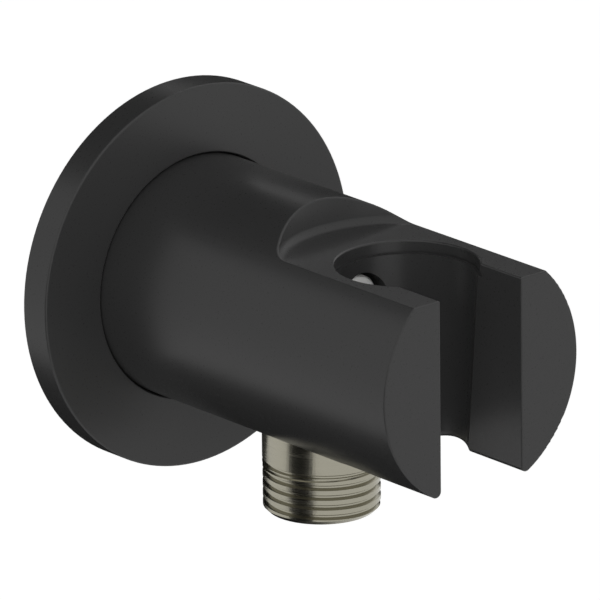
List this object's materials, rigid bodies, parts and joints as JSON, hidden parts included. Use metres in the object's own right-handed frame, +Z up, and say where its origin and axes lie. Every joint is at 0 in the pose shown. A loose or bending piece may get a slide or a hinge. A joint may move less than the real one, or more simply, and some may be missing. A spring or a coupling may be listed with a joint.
{
  "type": "wall outlet elbow",
  "caption": "Round wall outlet elbow with a fixed hand shower holder: rosette, cylindrical body, tapered open holder on top and a threaded nipple pointing down.",
  "frame": {"origin": "where the body's axis meets the wall, on the inlet thread's axis", "axes": "+Y into the wall along the inlet thread, +Z up, +X to the right for someone who faces the wall"},
  "size_m": [0.07, 0.0947, 0.07],
  "materials": {
    "black_coat": "matt black powder coat",
    "seal_rubber": "moulded black rubber",
    "brass": "machined brass",
    "stainless_steel": "bright stainless steel",
    "nickel_plate": "dark nickel plate on brass",
    "valve_plastic": "moulded natural acetal",
    "poppet_plastic": "moulded blue acetal"
  },
  "bodies": {
    "fitting": {"housing": "black_coat", "rosette": "black_coat", "wall_seal": "seal_rubber", "rosette_o_ring": "seal_rubber", "water_elbow": "brass", "fixing_screw": "stainless_steel", "outlet_nipple": "nickel_plate", "nipple_o_ring": "seal_rubber", "valve_seat": "valve_plastic", "valve_o_ring": "seal_rubber", "valve_cage": "valve_plastic", "valve_spring": "stainless_steel"},
    "poppet": {"valve_poppet": "poppet_plastic", "poppet_seal": "seal_rubber"}
  },
  "joints": [
    {"name": "poppet_lift", "type": "slide", "parent": "fitting", "child": "poppet", "axis": [0, 0, -1], "range_m": [0, 0.002], "stiffness_N_per_m": 50, "springref_m": -0.002, "deforming": ["valve_spring"]}
  ]
}
